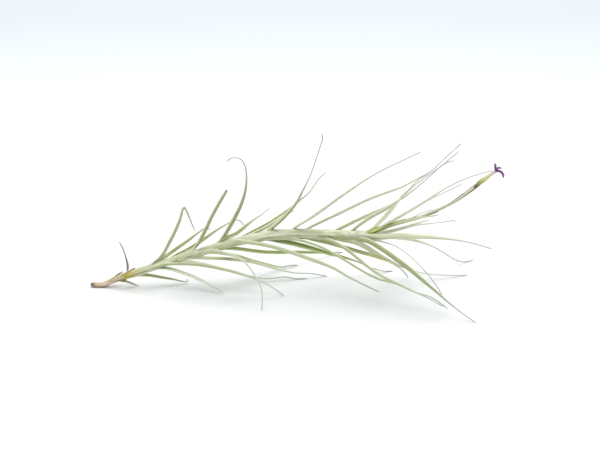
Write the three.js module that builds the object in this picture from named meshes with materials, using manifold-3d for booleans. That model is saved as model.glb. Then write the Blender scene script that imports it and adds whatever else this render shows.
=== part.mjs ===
// Tillandsia marconae, an air plant with a leafy stem, lying on its lower leaves with one flower open.
// X runs along the surface from the foot of the stem to the flower, Y runs back and Z up, in millimetres.
// The origin is where the foot of the stem rests on the surface.

import * as THREE from 'three';
import { mergeVertices } from 'three/addons/utils/BufferGeometryUtils.js';
import Module from 'manifold-3d';

const wasm = await Module();
wasm.setup();

// The plant was measured from the front, looking down at this angle. Each place below is an x along the
// surface from the tip of the old stem, a rise up that view, and in some tables a y behind the foot.
const LOOK_DOWN = THREE.MathUtils.degToRad(30);
const FOOT_REST = 3;

// Clearance between neighbouring pieces, the size of the slivers that are cleaned off a joined solid, and
// the distance within which two corners are one
const GAP = 0.3;
const SLIVER = 0.02;
const SAME_CORNER = 1e-4;

// Leaf blades are channels that open towards the stem. A leaf starts in the stem, at ROOT_DEPTH of its
// radius, as a wide sheath that clasps it. It keeps that width to SHEATH_SHARE of its length and is a plain
// blade from BLADE_SHARE on, which narrows the later, the higher NARROWING is. SHEATH_REACH is how far the
// sheaths stand out of the stem.
const BLADE_THICKNESS = 0.9;
const TIP_WIDTH = 0.75;
const TIP_THICKNESS = 0.65;
const CHANNEL_RADIUS = 1.5;
const SHEATH_WIDTH = 5.6;
const SHEATH_RADIUS = 2.2;
const SHEATH_REACH = 3;
const SHEATH_SHARE = 0.1;
const BLADE_SHARE = 0.25;
const NARROWING = 1.3;
const ROOT_DEPTH = 0.4;
const BLADE_SIDES = 6;
const STATIONS_PER_POINT = 1.1;

// A leaf leaves the stem on the side that its tip lies on, up to SIDE_STEP from the stem's middle. A leaf
// that rises from the stem leaves it SIDE_STEP behind its middle.
const SIDE_STEP = 1.8;
const SIDE_REACH = 8;

// The height of the middle of a leaf tip that rests on the surface
const TIP_REST = 0.1;

// The stem as [x, rise, y, radius]: brown and bare up to OLD_STEM_END, then leafy
const STEM = [
  [-0.4, 1.2, 0, 0.6], [1.2, 0.95, 0, 1.05], [3, 0.95, 0, 1.25], [5.5, 1.2, 0, 1.35], [7.5, 1.95, 0, 1.3],
  [10, 3.1, 0, 1.3], [13, 4.2, -0.3, 1.45], [16.5, 5.2, -0.5, 1.65], [20, 6.3, -0.8, 1.9],
  [25, 8, -1.1, 1.8], [30, 9.8, -1.5, 1.75], [40, 13, -2.5, 1.9], [50, 15.9, -3.2, 2],
  [60, 18.9, -4, 2.1], [70, 21.1, -4.6, 2.2], [80, 22.9, -5, 2.3], [90, 23.5, -5, 2.3],
  [100, 23.3, -5, 2.2], [110, 22.9, -5, 2.1], [121, 22.9, -5, 1.5],
];
const STEM_SIDES = 10;
const STEM_STEP = 4;
const OLD_STEM_START = -0.4;
const OLD_STEM_END = 12.4;
const LEAFY_STEM_END = 121;

// The flower stalk's centre line as [x, rise, y]: the scape with its bracts, the floral bract and the corolla
const STALK = [
  [116, 22.9, -5], [121, 23.3, -5], [125, 24.9, -5], [129, 26.6, -5], [133, 27.8, -5], [138, 28.9, -5],
  [143, 30.3, -5], [148, 32.2, -5], [153, 34.3, -5], [158, 36.5, -5], [162, 39, -5], [166, 42, -5],
  [170, 45.3, -5], [173, 47.6, -5], [176, 49.8, -5], [179, 51, -5],
];
const STALK_SIDES = 8;
const SCAPE_START = 117.5;
const SCAPE_END = 168;
const SCAPE_RADIUS = 0.65;
const SCAPE_STEP = 4;

// Bracts that sheathe the scape, as where each starts and where its free tip ends, and the side it opens to
const SCAPE_BRACTS = [
  { from: 123, to: 139, side: 1 },
  { from: 136, to: 152.5, side: -1 },
  { from: 149, to: 164, side: 1 },
  { from: 159, to: 167.6, side: -1 },
];
const BRACT_SWELL = 0.4;
const BRACT_SWELL_SHARES = [0, 0.9, 1, 0.8, 0.4, -0.6];
const BRACT_TIP_OFFSET = 0.7;

const FLORAL_BRACT_END = 176.4;
const FLORAL_BRACT_RADII = [0.65, 1, 1.22, 1.15, 0.9, 0.55];

// The corolla's tube and its petals, each petal a midrib as [x, rise, y]
const COROLLA_END = 178.7;
const COROLLA_RADIUS = 0.45;
const PETAL_WIDTH = 1.3;
const PETAL_THICKNESS = 0.6;
const COROLLA_STATIONS = 2;
const PETAL_STATIONS = 4;
const PETALS = [
  [[177.9, 50.6, -5], [178, 52.2, -4.6], [177.8, 54.2, -4]],
  [[178.1, 50.9, -5], [178.7, 52, -5.8], [180.4, 52.4, -7.6]],
  [[178.3, 50.7, -5], [180.2, 50.5, -5.3], [181.1, 49.4, -5.6], [181.3, 48, -5.9]],
];

// Each live leaf: root is where its sheath starts along the stem, and path is its midrib as [x, rise], from
// where it leaves the stem to its tip. back is how far behind the foot the tip lies. A leaf with no back
// rests its tip on the surface.
const LEAVES = [
  {
    root: 13, back: 3, width: 1.8,
    path: [[21, 5.2], [25, 5.1], [30, 4.3], [36, 3.3], [40, 2.4], [41.8, 2.2], [42.4, 2.9], [41.9, 3.5]],
  },
  {
    root: 18, back: -6, width: 2.1,
    path: [[30, 8], [35, 7.6], [40, 6], [45, 4.2], [50, 2], [54, -0.2], [58, -2.4]],
  },
  {
    root: 19, back: 8, width: 2,
    path: [[31, 14], [34, 19.2], [37, 25], [39, 29.8], [40.2, 34], [40.7, 35.2], [41.4, 34.6],
      [43.2, 30.5], [45.6, 24.6]],
  },
  {
    root: 21, back: 14, width: 2,
    path: [[31, 12.3], [36, 16], [42, 20.2], [46, 23.2], [50, 25.8], [52.5, 25.3]],
  },
  {
    root: 22, width: 2.1,
    path: [[32, 9.4], [38, 9.8], [45, 9.6], [52, 8.7], [60, 7], [67, 5.2], [73, 3.2], [78, 0.9],
      [82, -1.8], [85, -4]],
  },
  {
    root: 25, width: 1.7,
    path: [[34, 10.3], [41, 11.4], [48, 10.3], [55, 8.6], [62, 6.9], [70, 4.6], [75, 3.7], [80, 3.8],
      [85, 4.3], [90, 3.6], [95, 3.5]],
  },
  {
    root: 27, back: 16, width: 2.1,
    path: [[38, 14.3], [44, 17.5], [50, 21.5], [55, 25], [60, 28], [63, 29.5], [65.3, 29.2], [67, 27.2],
      [68.2, 25]],
  },
  {
    root: 30, width: 1.7,
    path: [[42, 12.8], [50, 12.7], [58, 12.4], [65, 11.7], [70, 11], [75, 9.7], [80, 8.3], [85, 7],
      [90, 6.1], [97, 5.8], [104, 4.6]],
  },
  {
    root: 35, back: -14, width: 2.5,
    path: [[45.5, 17.8], [48, 21.3], [50.3, 25.5], [53, 31], [56, 36.4], [60, 42.8]],
  },
  {
    root: 38, width: 1.7,
    path: [[52, 15.2], [59, 14.6], [65, 13.3], [70, 11.7], [75, 10.4], [80, 9.2], [84, 8.6], [87, 9.3],
      [91, 9.4]],
  },
  {
    root: 41, width: 1.8,
    path: [[53, 16], [59, 15], [64, 13.2], [67.5, 11], [70, 8.2], [72.6, 4.4], [74.6, 0.4], [75.4, -4],
      [75.1, -10.4]],
  },
  {
    root: 43, back: -9, width: 2.6,
    path: [[55.5, 19.5], [58.5, 23], [61, 27], [63.5, 31.5], [66, 36.5], [67.8, 42], [68.5, 47.5],
      [68.1, 52.5], [66.5, 55.7], [64, 56.8], [61.5, 56.3], [59.8, 54.8]],
  },
  {
    root: 45, width: 2,
    path: [[57, 17], [64, 16.8], [70, 16], [76, 15.3], [83, 15.1], [92, 15.2], [102, 15], [111, 15.2]],
  },
  {
    root: 47, back: 20, width: 2.5,
    path: [[60, 21.8], [64, 23.8], [68, 27], [72, 30], [76, 32.7], [79, 35.3]],
  },
  {
    root: 48, back: -16, width: 2.2,
    path: [[64, 19.6], [70, 19.3], [76, 18.3], [81, 17.2], [86, 15.7], [92, 13.6], [100, 10.8], [107, 8],
      [113, 4.5], [120, 1], [127, -2.3]],
  },
  {
    root: 54, back: 18, width: 2.3,
    path: [[66, 21.8], [72, 24.8], [78, 28], [84, 32], [88, 35], [92, 38.3], [96, 41.7], [100, 47.3],
      [103.5, 50.7]],
  },
  {
    root: 58, back: 6, width: 1.6,
    path: [[72, 23.8], [78, 26.9], [83, 30.2], [87, 32.8], [89.3, 33.5]],
  },
  {
    root: 61, back: -12, width: 3.6,
    path: [[76, 24.3], [80, 27.2], [85, 31.5], [90, 37], [93, 42.3], [96, 48], [98.3, 54], [100.3, 60],
      [101.6, 64], [101.9, 65.4], [101.3, 67.2]],
  },
  {
    root: 64, width: 3.3,
    path: [[80, 20.6], [86, 19.4], [92, 18], [98, 16.4], [104, 14.7], [110, 13.3], [116, 11.5], [121, 9.5],
      [125, 7.9], [129, 6.9], [133, 6.9]],
  },
  {
    root: 70, back: -18, width: 2.5,
    path: [[87.5, 25.2], [91, 27.4], [97, 31], [102, 34.5], [108, 38.8], [115, 43.5], [122, 48], [130, 52.3],
      [138, 56], [145, 59.3]],
  },
  {
    root: 73, back: -24, width: 2,
    path: [[90, 20.8], [96, 19.3], [102, 17.1], [107, 14.4], [112, 11.5], [117, 8.4], [122, 5.5],
      [127, 3.3], [134, 1.5], [141, -1.6], [150, -4.7], [157, -9.5]],
  },
  {
    root: 77, back: 22, width: 1.9,
    path: [[93.5, 25.2], [98, 27.4], [104, 30.2], [110, 33], [116, 35.9], [122, 38.7], [130, 41.7],
      [137, 44.2], [143, 47.4], [150, 51.3], [155, 56], [160, 60.6], [163.5, 63.5]],
  },
  {
    root: 82, back: 1, width: 2,
    path: [[98, 20.8], [105, 19.2], [112, 17.2], [119, 15.1], [126, 13.2], [132, 11], [138, 8.3]],
  },
  {
    root: 86, back: -29, width: 2.6,
    path: [[103, 20.8], [108, 19], [113, 15.8], [118, 11.8], [123, 7.8], [129, 4], [135, 1.3], [142, -2],
      [149, -5.2], [155, -8.6]],
  },
  {
    root: 89, back: 12, width: 2,
    path: [[106, 24.4], [110.5, 26.4], [116, 29.1], [122, 31.9], [128, 34.4], [133, 37], [137, 40],
      [141, 43.6], [145, 47], [148.5, 49.8]],
  },
  {
    root: 93, back: 6.5, width: 1.7,
    path: [[110, 20.6], [116, 19.3], [120, 17.5], [124, 15.1], [128, 12.8], [132, 10.8], [136, 8.3],
      [138.6, 5.8], [139.8, 3.8]],
  },
  {
    root: 95, back: -9, width: 2.3,
    path: [[113, 24.2], [117.5, 27.3], [123, 31], [129, 34.2], [135, 38], [140, 41.4], [145, 45.4],
      [150, 49.7], [154, 53.2], [157, 54.8], [159.5, 55.5]],
  },
  {
    root: 100, back: 8, width: 1.5,
    path: [[119, 22.8], [123, 25.4], [126.5, 28.4], [130, 32.4], [134, 37], [138, 41.4], [143, 45.3],
      [148, 49], [153, 52.6], [157, 55.7], [162, 59.8]],
  },
  {
    root: 102, width: 3.6,
    path: [[117, 20.8], [122, 19.6], [127, 16.7], [133, 12.6], [139, 8.2], [145, 3.3], [151, -1.6],
      [157, -6.6], [163, -11.3], [169, -15.5]],
  },
  {
    root: 104, back: -14, width: 1.2,
    path: [[119, 24], [124, 26], [128, 29], [132, 33.3], [136, 38.7], [140, 43.3], [144, 47.3],
      [147, 49.2]],
  },
  {
    root: 106, width: 1.5,
    path: [[118, 19.8], [122, 17.6], [126, 14.9], [130, 12.5], [134, 10.4], [138, 8.5], [142, 7.1],
      [148, 5.7], [156, 5.1], [166, 5]],
  },
  {
    root: 108, back: -20, width: 2.3,
    path: [[122, 24.6], [126, 26], [131, 28.8], [137, 32.1], [143, 35.6], [150, 40], [157, 44.2],
      [164, 47.4], [171, 49.8], [175.5, 50.8], [178, 50.5]],
  },
  {
    root: 110, back: -20, width: 1.3,
    path: [[124, 20.8], [129, 19.7], [134, 18], [138, 15.5], [142, 12], [146, 8], [150, 3.3], [153, -1],
      [155, -5]],
  },
  {
    root: 111, back: 18, width: 1.5,
    path: [[124, 24.8], [130, 27.8], [136, 31], [143, 35], [150, 39], [157, 42.3], [163.5, 45.4]],
  },
  {
    root: 112, back: -26, width: 2.3,
    path: [[124, 22.2], [130, 22.1], [136, 22.6], [143, 22.2], [151, 21.8], [160, 20.8], [168, 19.2],
      [176, 16.8]],
  },
  {
    root: 113, width: 1.8,
    path: [[125, 21.6], [131, 22], [137, 21.5], [143, 20.4], [149, 18.5], [154, 16], [158, 13.5],
      [161, 11.8], [165, 11], [169, 11.7]],
  },
  {
    root: 114, back: 28, width: 1.3,
    path: [[125, 23.2], [131, 24.2], [137, 25.7], [143, 27.2], [150, 28], [156, 28.7], [160.5, 29.2],
      [161.3, 28.5]],
  },
  {
    root: 115, back: 18, width: 1.2,
    path: [[125, 23.8], [131, 24.8], [137, 26.3], [143, 28], [149, 29.4]],
  },
  {
    root: 116, back: 9, width: 1.2,
    path: [[125, 25], [130, 26.8], [135, 28], [140, 30], [145, 32.3], [150.5, 34.2]],
  },
  {
    root: 117, back: -16, width: 1.4,
    path: [[126, 24.8], [132, 26.8], [138, 28.6], [144, 30.4], [149, 31.1], [153, 31.8]],
  },
];

// Withered leaves that are still on the old stem
const WITHERED = [
  { root: 9, width: 1.2, path: [[13.2, 2.6], [15, 2.4], [17, 1.8], [19, 1], [20.7, 0.2]] },
  { root: 5, back: 0.5, width: 1.2, path: [[10.4, 4.6], [12, 5.7], [13.8, 6.7]] },
  {
    root: 8, back: 2.5, width: 1.4,
    path: [[12.6, 6.4], [15.4, 8.2], [15.6, 11], [14.8, 14.3], [13.7, 17.3], [12.1, 20.1]],
  },
];

// A place on the plant that shows at x and rise from the front, and lies y behind the foot
function seen(x, rise, y) {
  return new THREE.Vector3(x - FOOT_REST, y, (rise - y * Math.sin(LOOK_DOWN)) / Math.cos(LOOK_DOWN));
}

// A smooth curve through a table's places, and how far along it, from 0 to 1, a place x is
function curveOf(table) {
  return new THREE.CatmullRomCurve3(table.map(([x, rise, y]) => seen(x, rise, y)));
}

function shareAt(table, x) {
  const last = table.length - 1;
  const inside = THREE.MathUtils.clamp(x, table[0][0], table[last][0]);
  const after = Math.max(1, table.findIndex((place) => place[0] >= inside));
  const step = (inside - table[after - 1][0]) / (table[after][0] - table[after - 1][0]);
  return (after - 1 + step) / last;
}

// The value that a list of even steps holds at a share of its length
function valueAt(list, share) {
  const place = share * (list.length - 1);
  const before = Math.min(Math.floor(place), list.length - 2);
  return THREE.MathUtils.lerp(list[before], list[before + 1], place - before);
}

const stemCurve = curveOf(STEM);
const stemRadii = STEM.map(([, , , radius]) => radius);
const stalkCurve = curveOf(STALK);

// The stem's centre, direction and radius at a place x along the surface
function stemAt(x) {
  const share = shareAt(STEM, x);
  return {
    centre: stemCurve.getPoint(share),
    along: stemCurve.getTangent(share),
    radius: valueAt(stemRadii, share),
  };
}

// How far up the front view the stem's centre shows at a place x
function stemRiseAt(x) {
  return valueAt(STEM.map(([, rise]) => rise), shareAt(STEM, x));
}

// A closed solid whose cross-section changes along a curve. section(share) gives its width, its thickness and
// the radius of the channel it is bent to. start is where the channel opens to at the curve's first end.
function loft(curve, stations, sides, start, section) {
  const frames = [];
  const opening = start.clone();
  let travelled = 0;
  for (let i = 0; i <= stations; i += 1) {
    const at = curve.getPoint(i / stations);
    const along = curve.getTangent(i / stations);
    opening.addScaledVector(along, -opening.dot(along)).normalize();
    travelled += i ? at.distanceTo(frames[i - 1].at) : 0;
    frames.push({ at, opening: opening.clone(), across: along.clone().cross(opening), travelled });
  }
  const geometry = new THREE.CylinderGeometry(1, 1, 1, sides, stations);
  const position = geometry.getAttribute('position');
  const edge = Math.max(...Array.from({ length: sides }, (_, i) => Math.sin((2 * Math.PI * i) / sides)));
  for (let i = 0; i < position.count; i += 1) {
    const frame = frames[Math.round((position.getY(i) + 0.5) * stations)];
    const { width, thickness, channel } = section(frame.travelled / travelled);
    const turn = ((position.getX(i) / edge) * width) / 2 / channel;
    const reach = channel - (position.getZ(i) * thickness) / 2;
    const place = frame.at.clone()
      .addScaledVector(frame.across, reach * Math.sin(turn))
      .addScaledVector(frame.opening, channel - reach * Math.cos(turn));
    position.setXYZ(i, place.x, place.y, place.z);
  }
  return geometry;
}

// A closed round tube along a curve, whose radius is given at each share of the curve
function tube(curve, stations, sides, radius) {
  const straight = 1000;
  const upright = new THREE.Vector3(0, 0, 1);
  const section = (share) => ({ width: 2 * radius(share), thickness: 2 * radius(share), channel: straight });
  return loft(curve, stations, sides, upright, section);
}

// three.js geometry to a solid for joining and cutting, and back
function toSolid(geometry) {
  const bare = geometry.clone();
  bare.deleteAttribute('normal');
  bare.deleteAttribute('uv');
  const merged = mergeVertices(bare, SAME_CORNER);
  const vertProperties = merged.getAttribute('position').array;
  return new wasm.Manifold(new wasm.Mesh({ numProp: 3, vertProperties, triVerts: merged.index.array }));
}

function toGeometry(solid) {
  const { vertProperties, triVerts } = solid.getMesh();
  const geometry = new THREE.BufferGeometry();
  geometry.setAttribute('position', new THREE.BufferAttribute(new Float32Array(vertProperties), 3));
  geometry.setIndex(new THREE.BufferAttribute(new Uint32Array(triVerts), 1));
  geometry.computeVertexNormals();
  return geometry;
}

// The largest body of a solid, without the slivers, scraps and sealed hollows that joining leaves
function mainBody(solid) {
  const bodies = solid.asOriginal().simplify(SLIVER).decompose();
  return bodies.reduce((best, body) => (body.volume() > best.volume() ? body : best));
}

// A piece of a table's curve between two places x
function stretch(curve, table, from, to, stations) {
  const start = shareAt(table, from);
  const end = shareAt(table, to);
  const places = Array.from({ length: stations + 1 }, (_, i) => start + ((end - start) * i) / stations);
  return new THREE.CatmullRomCurve3(places.map((share) => curve.getPoint(share)));
}

// The round stem between two places, thicker all round by extra
function stemSolid(from, to, extra = 0) {
  const stations = Math.ceil((to - from) / STEM_STEP);
  const radius = (share) => stemAt(from + (to - from) * share).radius + extra;
  return toSolid(tube(stretch(stemCurve, STEM, from, to, stations), stations, STEM_SIDES, radius));
}

// How far behind the foot a tip lies that rests on the surface and shows at this rise
function restingBack(rise) {
  return (rise - TIP_REST * Math.cos(LOOK_DOWN)) / Math.sin(LOOK_DOWN);
}

// A leaf's midrib: it starts inside the stem, follows the stem as a sheath and then its own path
function midrib({ root, path, back = restingBack(path[path.length - 1][1]) }) {
  const foot = stemAt(root);
  const runs = path.map(([x, rise], i) => (i ? Math.hypot(x - path[i - 1][0], rise - path[i - 1][1]) : 0));
  const total = runs.reduce((sum, run) => sum + run, 0);
  const stemY = stemAt(path[0][0]).centre.y;
  const rising = path[1][1] > stemRiseAt(path[1][0]);
  const side = rising ? 1 : THREE.MathUtils.clamp((back - stemY) / SIDE_REACH, -1, 1);
  const yStart = stemY + SIDE_STEP * side;
  let run = 0;
  const blade = path.map(([x, rise], i) => {
    run += runs[i];
    return seen(x, rise, yStart + (back - yStart) * (run / total));
  });
  const outward = blade[1].clone().sub(stemAt(path[1][0]).centre);
  outward.addScaledVector(foot.along, -outward.dot(foot.along)).normalize();
  const clasp = stemAt((root + path[0][0]) / 2);
  const points = [
    foot.centre.clone().addScaledVector(outward, ROOT_DEPTH * foot.radius),
    clasp.centre.clone().addScaledVector(outward, clasp.radius),
    ...blade,
  ];
  return { curve: new THREE.CatmullRomCurve3(points, false, 'centripetal'), outward, points };
}

// A leaf's cross-section at a share of its length: a clasping sheath, then a blade that narrows to its tip
function leafSection(width, share, extra) {
  const sheath = THREE.MathUtils.smoothstep(share, SHEATH_SHARE, BLADE_SHARE);
  const bladeWidth = THREE.MathUtils.lerp(width, TIP_WIDTH, share ** NARROWING);
  return {
    width: THREE.MathUtils.lerp(SHEATH_WIDTH, bladeWidth, sheath) + 2 * extra,
    thickness: THREE.MathUtils.lerp(BLADE_THICKNESS, TIP_THICKNESS, share) + 2 * extra,
    channel: THREE.MathUtils.lerp(SHEATH_RADIUS, CHANNEL_RADIUS, sheath),
  };
}

function leafSolid(leaf, extra = 0) {
  const { curve, outward, points } = midrib(leaf);
  const stations = Math.round(STATIONS_PER_POINT * (points.length - 1));
  const section = (share) => leafSection(leaf.width, share, extra);
  return toSolid(loft(curve, stations, BLADE_SIDES, outward.clone().negate(), section));
}

// Everything below the surface. Cutting it off the foot and the lowest tips leaves flat spots to rest on.
function belowSurface() {
  const size = 400;
  const slab = new THREE.BoxGeometry(size, size, size);
  slab.translate(0, 0, -size / 2);
  return toSolid(slab);
}

// The scape's plain stalk, thicker all round by extra
function scapeStalk(extra = 0) {
  const stations = Math.ceil((SCAPE_END - SCAPE_START) / SCAPE_STEP);
  const curve = stretch(stalkCurve, STALK, SCAPE_START, SCAPE_END, stations);
  return toSolid(tube(curve, stations, STALK_SIDES, () => SCAPE_RADIUS + extra));
}

// A bract that sheathes the scape, swells a little and stands off it at its tip
function scapeBract({ from, to, side }, extra = 0) {
  const stations = BRACT_SWELL_SHARES.length - 1;
  const start = shareAt(STALK, from);
  const end = shareAt(STALK, to);
  const places = Array.from({ length: stations + 1 }, (_, i) => {
    const share = start + ((end - start) * i) / stations;
    const away = stalkCurve.getTangent(share).cross(new THREE.Vector3(0, 1, 0)).multiplyScalar(-side);
    return stalkCurve.getPoint(share).addScaledVector(away, BRACT_TIP_OFFSET * (i / stations) ** 3);
  });
  const radius = (share) => SCAPE_RADIUS + BRACT_SWELL * valueAt(BRACT_SWELL_SHARES, share) + extra;
  return toSolid(tube(new THREE.CatmullRomCurve3(places), stations, STALK_SIDES, radius));
}

function scapeSolid(extra = 0) {
  return wasm.Manifold.union([scapeStalk(extra), ...SCAPE_BRACTS.map((bract) => scapeBract(bract, extra))]);
}

function oldStem() {
  const whole = wasm.Manifold.union([
    stemSolid(OLD_STEM_START, OLD_STEM_END),
    ...WITHERED.map((leaf) => leafSolid(leaf)),
  ]);
  return mainBody(whole.subtract(belowSurface()));
}

// The live stem with all its leaves, clear of the old stem, of its withered leaves and of the scape
function leafyStem() {
  const whole = wasm.Manifold.union([
    stemSolid(OLD_STEM_END + GAP, LEAFY_STEM_END),
    ...LEAVES.map((leaf) => leafSolid(leaf)),
  ]);
  const clearance = wasm.Manifold.union([
    stemSolid(OLD_STEM_START, OLD_STEM_END + GAP, SHEATH_REACH),
    ...WITHERED.map((leaf) => leafSolid(leaf, GAP)),
    scapeSolid(GAP),
    belowSurface(),
  ]);
  return mainBody(whole.subtract(clearance));
}

function floralBract() {
  const stations = FLORAL_BRACT_RADII.length - 1;
  const curve = stretch(stalkCurve, STALK, SCAPE_END + GAP, FLORAL_BRACT_END, stations);
  return toSolid(tube(curve, stations, STALK_SIDES, (share) => valueAt(FLORAL_BRACT_RADII, share)));
}

// The corolla's narrow tube with its petals, which bend back from the mouth
function corolla() {
  const curve = stretch(stalkCurve, STALK, FLORAL_BRACT_END + GAP, COROLLA_END, COROLLA_STATIONS);
  const throat = toSolid(tube(curve, COROLLA_STATIONS, STALK_SIDES, () => COROLLA_RADIUS));
  const towardsFront = new THREE.Vector3(1, -1, 0);
  const section = () => ({ width: PETAL_WIDTH, thickness: PETAL_THICKNESS, channel: CHANNEL_RADIUS });
  const petals = PETALS.map((path) => {
    const points = path.map(([x, rise, y]) => seen(x, rise, y));
    const midline = new THREE.CatmullRomCurve3(points);
    return toSolid(loft(midline, PETAL_STATIONS, BLADE_SIDES, towardsFront, section));
  });
  return mainBody(wasm.Manifold.union([throat, ...petals]));
}

const plant = new THREE.Group();

function add(name, solid, color, roughness) {
  const material = new THREE.MeshStandardMaterial({ color, roughness, metalness: 0 });
  const mesh = new THREE.Mesh(toGeometry(solid), material);
  mesh.name = name;
  plant.add(mesh);
}

add('old_stem', oldStem(), 0xa5835f, 0.9);
add('leafy_stem', leafyStem(), 0x9aab6c, 0.7);
add('scape', mainBody(scapeSolid()), 0x8f9a5c, 0.7);
add('floral_bract', floralBract(), 0xb7c46a, 0.6);
add('petals', corolla(), 0x5b3f8f, 0.6);

export default plant;
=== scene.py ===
"""Tillandsia marconae: an air plant with a leafy stem, lying on its lower leaf tips, with one flower open.

Places are in millimetres as (x, rise, y): x along the surface from the tip of the old stem, rise up the view
that looks down at LOOK_DOWN, and y behind the foot. seen() turns them to the frame's axes. A piece is made of
strips. Each is a midrib with a section at every place, and a node tree sweeps it into a closed surface.
"""

import math
from collections import namedtuple

import bpy
import numpy as np
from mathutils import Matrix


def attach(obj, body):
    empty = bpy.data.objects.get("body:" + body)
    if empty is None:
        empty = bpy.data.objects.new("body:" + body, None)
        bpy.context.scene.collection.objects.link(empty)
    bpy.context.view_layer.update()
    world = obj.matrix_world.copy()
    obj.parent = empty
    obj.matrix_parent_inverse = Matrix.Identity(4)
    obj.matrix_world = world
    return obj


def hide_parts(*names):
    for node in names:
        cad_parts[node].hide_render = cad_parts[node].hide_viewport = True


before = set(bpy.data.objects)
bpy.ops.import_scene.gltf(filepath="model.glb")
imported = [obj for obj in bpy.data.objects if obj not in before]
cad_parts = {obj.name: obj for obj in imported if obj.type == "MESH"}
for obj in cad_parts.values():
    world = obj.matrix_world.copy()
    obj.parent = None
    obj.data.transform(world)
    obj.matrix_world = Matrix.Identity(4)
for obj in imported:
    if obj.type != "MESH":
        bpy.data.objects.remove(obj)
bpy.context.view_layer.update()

MM = 0.001
LOOK_DOWN = math.radians(30)
FOOT_REST = 3
BODY = "root"

# The direction that the picture is taken in
VIEW = np.array((0.0, math.cos(LOOK_DOWN), -math.sin(LOOK_DOWN)))
UP = np.array((0.0, 0.0, 1.0))

# The stem as (x, rise, y, radius)
STEM = [
    (-0.4, 1.2, 0, 0.6), (1.2, 0.95, 0, 1), (3, 0.95, 0, 1.15), (5.5, 1.2, 0, 1.2), (7.5, 1.95, 0, 1.15),
    (10, 3.1, 0, 1.2), (13, 4.2, -0.3, 1.35), (16.5, 5.2, -0.5, 1.65), (20, 6.3, -0.8, 1.85),
    (25, 8, -1.1, 1.75), (30, 9.8, -1.5, 1.5), (40, 13, -2.5, 1.65), (50, 15.9, -3.2, 1.85),
    (60, 18.9, -4, 1.85), (70, 21.1, -4.6, 2.1), (80, 22.9, -5, 2.3), (90, 23.5, -5, 2.3),
    (100, 23.3, -5, 2.2), (110, 22.9, -5, 2.1), (121, 22.9, -5, 1.5),
]
STEM_X = [row[0] for row in STEM]
STEM_RISE = [row[1] for row in STEM]

# The old stem's bark thins under the first sheaths, where the core of the live stem starts thin and grows.
# The shares are of the stem's radius.
OLD_STEM = (-0.4, 16)
OLD_STEM_FLATNESS = 0.94
BARK_THINS = (13.2, 16)
BARK_SHARE = (1, 0.74)
CORE = (12, 121)
CORE_GROWS = (12.8, 15.2)
CORE_SHARE = (0.8, 0.97)

# The flower stalk's centre line as (x, rise, y), and the part of it that the scape has
STALK = [
    (116, 22.9, -5), (121, 23.3, -5), (125, 24.9, -5), (129, 26.6, -5), (133, 27.8, -5), (138, 28.9, -5),
    (143, 30.3, -5), (148, 32.2, -5), (153, 34.3, -5), (158, 36.5, -5), (162, 39, -5), (166, 42, -5),
    (170, 45.3, -5), (173, 47.6, -5), (176, 49.8, -5), (179, 51, -5),
]
SCAPE = (117.5, 170)
SCAPE_RADIUS = 0.6

# Thin pieces that clasp a stem, from start to a free tip at end. turn is the side of the stem: 0 is up the
# view, a quarter turn is towards the viewer. gaps and wraps are distances from the stem's centre line and
# half angles round it, evenly from foot to tip. tone is how pale a husk is and how brown a bract's margins
# are, and dry is the share of the length that has browned.
Clasp = namedtuple("Clasp", "start end turn gaps wraps tone dry", defaults=[0, 0])
HUSKS = [
    Clasp(3.6, 8.6, 1.2, [1.0, 1.12, 1.2, 1.3], [1.5, 1.4, 1.0, 0.25], 1),
    Clasp(6.4, 12.6, 0.2, [1.15, 1.28, 1.42, 1.6], [1.5, 1.5, 1.0, 0.2], 1),
    Clasp(8.8, 15.4, 2.4, [1.25, 1.4, 1.6, 1.75], [1.6, 1.5, 1.1, 0.2], 1),
    Clasp(13.4, 19.8, 0.3, [1.45, 1.75, 2.05, 2.4], [1.3, 1.2, 0.8, 0.15], 0.9),
]
BRACT_WRAPS = [2.6, 2.5, 2.2, 1.6, 0.9, 0.1]
SCAPE_BRACTS = [
    Clasp(119.5, 139, 0.5, [0.9, 1.15, 1.1, 1.0, 0.95, 1.1], BRACT_WRAPS, 0, 0.039),
    Clasp(136, 152.5, 2.6, [0.64, 0.74, 0.84, 0.92, 0.95, 1.1], BRACT_WRAPS, 0.4, 0.156),
    Clasp(149, 164, 0.5, [0.64, 0.72, 0.8, 0.84, 0.9, 1.1], BRACT_WRAPS, 0.35, 0.156),
    Clasp(159, 172.8, 1.9, [0.64, 0.74, 0.84, 0.95, 1.15, 1.3], BRACT_WRAPS, 0.45, 0.26),
]
FLOWER_BRACT = Clasp(168.2, 177.4, math.pi - 0.4, [0.55, 0.9, 1.12, 1.05, 0.8, 0.5],
                     [2.7, 2.6, 2.3, 1.9, 1.2, 0.15])
SEPALS = [Clasp(169, 178, turn, [0.35, 0.6, 0.75, 0.72, 0.55, 0.4], [1.2, 1.2, 1.1, 1.0, 0.8, 0.15])
          for turn in (0.3, 2.4, 4.5)]
HUSK_THICKNESS = 0.15
BRACT_THICKNESS = 0.2
FLOWER_BRACT_THICKNESS = 0.24
SEPAL_THICKNESS = 0.22
CLASP_STEPS = 44
TIP_THINNESS = 0.5
BROWNEST = 1.05

# Each petal's limb as (x, rise, y), from the mouth of the flower's tube to its tip
PETALS = [
    [(177.8, 50.8, -5), (177.6, 52.2, -4.6), (177.4, 54.4, -4)],
    [(178.2, 50.8, -5), (178.4, 51.8, -5.4), (178.9, 52.2, -6), (180.3, 52.1, -7)],
    [(178.6, 50.9, -5), (179.9, 50.5, -5.3), (180.8, 49.4, -5.6), (181.1, 47.8, -5.9)],
]

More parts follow.
